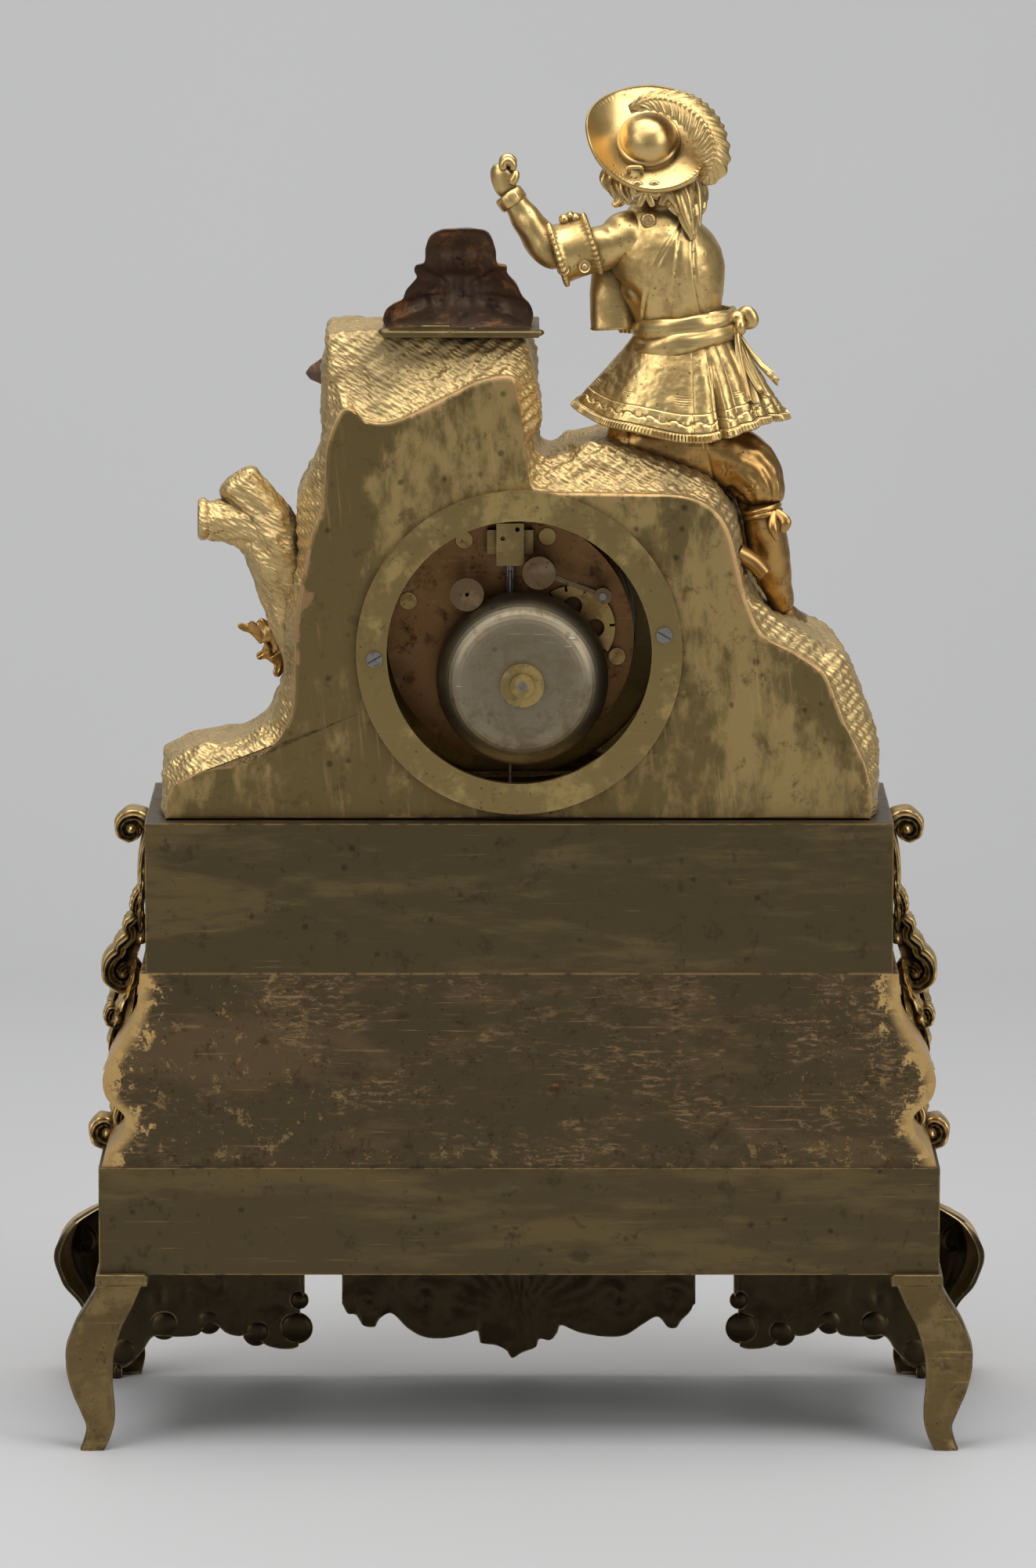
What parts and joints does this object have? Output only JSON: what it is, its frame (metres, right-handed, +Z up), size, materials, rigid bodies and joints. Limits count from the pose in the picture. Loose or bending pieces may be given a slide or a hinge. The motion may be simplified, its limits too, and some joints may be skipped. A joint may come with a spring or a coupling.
{
  "type": "mantel clock",
  "caption": "Footed mantel clock: round striking movement in a rock-shaped case with a seated figure, hinged front glass and swinging pendulum.",
  "frame": {"origin": "middle of the whole clock's box in X and Y, on the surface it stands on", "axes": "+Z up, -Y towards the front where the dial is, +X to the right seen from the front"},
  "size_m": [0.316, 0.125, 0.4464],
  "materials": {
    "patinated_bronze": "dark brown patina with golden wear along the edges",
    "gilt_bronze": "worn gilding over bronze, brown in the hollows",
    "dark_cast_bronze": "raw casting, nearly black with rusty patches",
    "aged_brass_plate": "rolled brass plate, dull, spotted and scratched",
    "ring_brass": "turned brass, satin",
    "bezel_gilt": "gilt turned moulding",
    "clear_glass": "clear",
    "enamel": "glossy white enamel",
    "blued_steel": "dark blued steel",
    "movement_brass": "satin brass",
    "coppery_plate": "coppery tarnished brass",
    "steel": "grey steel, a little rusted",
    "bell_metal": "nickelled bell, satin"
  },
  "bodies": {
    "case": {"lower_box": "patinated_bronze", "middle_section": "patinated_bronze", "upper_box": "patinated_bronze", "tie_rods": "steel", "rear_foot_left": "patinated_bronze", "rear_foot_right": "patinated_bronze", "front_foot_left": "gilt_bronze", "front_foot_right": "gilt_bronze", "front_apron": "gilt_bronze", "side_mounts": "gilt_bronze", "front_relief": "gilt_bronze", "rock_case": "gilt_bronze", "rock_back_plate": "aged_brass_plate", "tree_stump": "gilt_bronze", "top_ornament": "dark_cast_bronze", "figure_body": "gilt_bronze", "figure_legs": "gilt_bronze", "figure_head": "gilt_bronze", "figure_hat": "gilt_bronze", "hat_plume": "gilt_bronze", "raised_arm": "gilt_bronze", "lowered_arm": "gilt_bronze", "slotted_screws": "steel", "rear_ring": "ring_brass", "case_straps": "ring_brass", "bezel_seat": "ring_brass", "hinge_pin": "steel", "dial": "enamel", "front_plate": "movement_brass", "back_plate": "coppery_plate", "plate_pillars": "movement_brass", "suspension_cock": "ring_brass", "mainsprings": "steel", "bell": "bell_metal", "bell_stand": "steel", "bell_nut": "ring_brass"},
    "bezel": {"front_bezel": "bezel_gilt", "bezel_glass": "clear_glass"},
    "centre_arbor": {"centre_wheel": "movement_brass", "cannon_pinion": "movement_brass", "minute_hand": "blued_steel"},
    "hour_pipe": {"hour_wheel": "movement_brass", "hour_hand": "blued_steel"},
    "minute_work": {"minute_wheel": "movement_brass"},
    "second_arbor": {"second_wheel": "movement_brass"},
    "going_drum": {"going_barrel": "movement_brass"},
    "third_arbor": {"third_wheel": "movement_brass"},
    "escape_arbor": {"escape_wheel": "movement_brass"},
    "anchor_arbor": {"anchor": "steel"},
    "pendulum": {"pendulum_rod": "steel", "pendulum_bob": "movement_brass"},
    "going_winder": {"going_arbor": "steel"},
    "strike_drum": {"strike_barrel": "movement_brass"},
    "strike_winder": {"strike_arbor": "steel"},
    "count_arbor": {"strike_wheel": "movement_brass", "count_wheel": "movement_brass"},
    "locking_arbor": {"locking_wheel": "movement_brass"},
    "fly_arbor": {"fly": "movement_brass"},
    "bell_hammer": {"hammer": "steel"},
    "regulator": {"regulator_knob": "coppery_plate"}
  },
  "joints": [
    {"name": "bezel_open", "type": "hinge", "parent": "case", "child": "bezel", "pos_m": [-0.054, -0.0207, 0.2655], "axis": [0, 0, -1], "range_deg": [0, 95]},
    {"name": "minute_turn", "type": "hinge", "parent": "case", "child": "centre_arbor", "pos_m": [0.003, 0.0175, 0.2655], "axis": [0, 1, 0], "continuous": true},
    {"name": "hour_turn", "type": "hinge", "parent": "case", "child": "hour_pipe", "pos_m": [0.003, 0.0175, 0.2655], "axis": [0, 1, 0], "continuous": true},
    {"name": "minute_wheel_turn", "type": "hinge", "parent": "case", "child": "minute_work", "pos_m": [0.003, 0.0175, 0.2739], "axis": [0, 1, 0], "continuous": true},
    {"name": "second_turn", "type": "hinge", "parent": "case", "child": "second_arbor", "pos_m": [0.01694, 0.0175, 0.26861], "axis": [0, 1, 0], "continuous": true},
    {"name": "going_barrel_turn", "type": "hinge", "parent": "case", "child": "going_drum", "pos_m": [0.0215, 0.0175, 0.2505], "axis": [0, 1, 0], "continuous": true},
    {"name": "third_turn", "type": "hinge", "parent": "case", "child": "third_arbor", "pos_m": [-0.0053, 0.0175, 0.27634], "axis": [0, 1, 0], "continuous": true},
    {"name": "escape_turn", "type": "hinge", "parent": "case", "child": "escape_arbor", "pos_m": [0.003, 0.0175, 0.286], "axis": [0, 1, 0], "continuous": true},
    {"name": "pendulum_swing", "type": "hinge", "parent": "case", "child": "pendulum", "pos_m": [0.003, 0.025, 0.297], "axis": [0, 1, 0], "range_deg": [-4, 4]},
    {"name": "anchor_rock", "type": "hinge", "parent": "case", "child": "anchor_arbor", "pos_m": [0.003, 0.0175, 0.297], "axis": [0, 1, 0], "range_deg": [-4, 4]},
    {"name": "going_winding", "type": "hinge", "parent": "case", "child": "going_winder", "pos_m": [0.0215, 0.0175, 0.2505], "axis": [0, 1, 0], "continuous": true},
    {"name": "strike_barrel_turn", "type": "hinge", "parent": "case", "child": "strike_drum", "pos_m": [-0.0155, 0.0175, 0.2505], "axis": [0, 1, 0], "continuous": true},
    {"name": "strike_winding", "type": "hinge", "parent": "case", "child": "strike_winder", "pos_m": [-0.0155, 0.0175, 0.2505], "axis": [0, 1, 0], "continuous": true},
    {"name": "count_turn", "type": "hinge", "parent": "case", "child": "count_arbor", "pos_m": [-0.01778, 0.0175, 0.26904], "axis": [0, 1, 0], "continuous": true},
    {"name": "locking_turn", "type": "hinge", "parent": "case", "child": "locking_arbor", "pos_m": [-0.02296, 0.0175, 0.27702], "axis": [0, 1, 0], "continuous": true},
    {"name": "fly_turn", "type": "hinge", "parent": "case", "child": "fly_arbor", "pos_m": [-0.01887, 0.0175, 0.28411], "axis": [0, 1, 0], "continuous": true},
    {"name": "hammer_lift", "type": "hinge", "parent": "case", "child": "bell_hammer", "pos_m": [-0.0276, 0.0175, 0.2812], "axis": [0, -1, 0], "range_deg": [-3.5, 14], "stiffness_Nm_per_rad": 0.004},
    {"name": "regulator_turn", "type": "hinge", "parent": "case", "child": "regulator", "pos_m": [0.0172, 0.0175, 0.2825], "axis": [0, 1, 0], "range_deg": [-180, 180]}
  ],
  "couplings": [
    {"joint": "second_turn", "follows": "minute_turn", "ratio": -0.16667},
    {"joint": "going_barrel_turn", "follows": "minute_turn", "ratio": 0.025641},
    {"joint": "third_turn", "follows": "minute_turn", "ratio": -12},
    {"joint": "escape_turn", "follows": "minute_turn", "ratio": 144},
    {"joint": "minute_wheel_turn", "follows": "minute_turn", "ratio": -0.33333},
    {"joint": "hour_turn", "follows": "minute_turn", "ratio": 0.083333},
    {"joint": "anchor_rock", "follows": "pendulum_swing", "ratio": 1},
    {"joint": "count_turn", "follows": "strike_barrel_turn", "ratio": -6.5},
    {"joint": "locking_turn", "follows": "strike_barrel_turn", "ratio": 48.75},
    {"joint": "fly_turn", "follows": "strike_barrel_turn", "ratio": -390}
  ]
}
